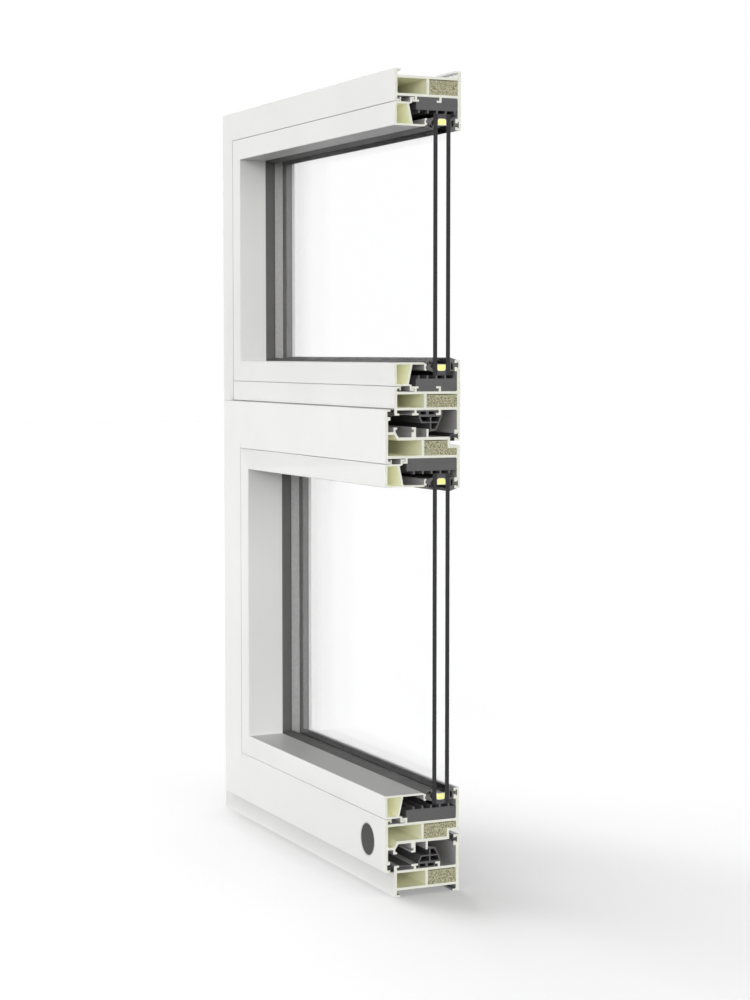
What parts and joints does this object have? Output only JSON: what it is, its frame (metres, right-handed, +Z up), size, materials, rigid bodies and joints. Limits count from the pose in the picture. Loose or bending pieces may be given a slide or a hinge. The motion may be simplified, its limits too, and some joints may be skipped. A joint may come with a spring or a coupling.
{
  "type": "sectioned tilt and turn window sample",
  "caption": "White composite window sample cut through on one side: a fixed light over an inward tilt and turn sash, with hollow and foam-filled profiles, beads, seals and sealed glass units.",
  "frame": {"origin": "on the floor under the middle of the sample, at the bottom centre of its box", "axes": "+Z up, +Y from the room side to the weather side, +X from the jamb to the cut"},
  "size_m": [0.4828, 0.0834, 0.832],
  "materials": {
    "profile": "satin white coat on glass fibre composite, bare cream where it is cut",
    "foam": "khaki rigid insulating foam, granular",
    "glass": "clear float glass",
    "rubber": "dark grey sealing rubber",
    "block": "dark grey moulded plastic",
    "sealant": "dark grey edge sealant",
    "spacer": "dark spacer cap",
    "desiccant": "pale yellow desiccant matrix",
    "cover": "thin grey cover strip"
  },
  "bodies": {
    "root": {"frame_head": "profile", "frame_jamb": "profile", "frame_sill": "profile", "transom": "profile", "sash_top_rail": "profile", "sash_stile": "profile", "sash_bottom_rail": "profile", "fixed_bead_top": "profile", "fixed_bead_side": "profile", "fixed_bead_bottom": "profile", "sash_bead_top": "profile", "sash_bead_side": "profile", "sash_bead_bottom": "profile", "head_foam": "foam", "sill_foam": "foam", "transom_foam": "foam", "sash_top_foam": "foam", "sash_bottom_foam": "foam", "fixed_inner_pane": "glass", "fixed_outer_pane": "glass", "sash_inner_pane": "glass", "sash_outer_pane": "glass", "fixed_inner_gasket": "rubber", "fixed_outer_gasket": "rubber", "sash_inner_gasket": "rubber", "sash_outer_gasket": "rubber", "outer_seal": "rubber", "centre_seal": "rubber", "lap_seal": "rubber", "head_block": "block", "transom_block": "block", "sash_top_block": "block", "sash_bottom_block": "block", "fixed_edge_seal": "sealant", "sash_edge_seal": "sealant", "fixed_spacer": "spacer", "sash_spacer": "spacer", "fixed_desiccant": "desiccant", "sash_desiccant": "desiccant", "groove_cover": "cover"}
  },
  "joints": []
}
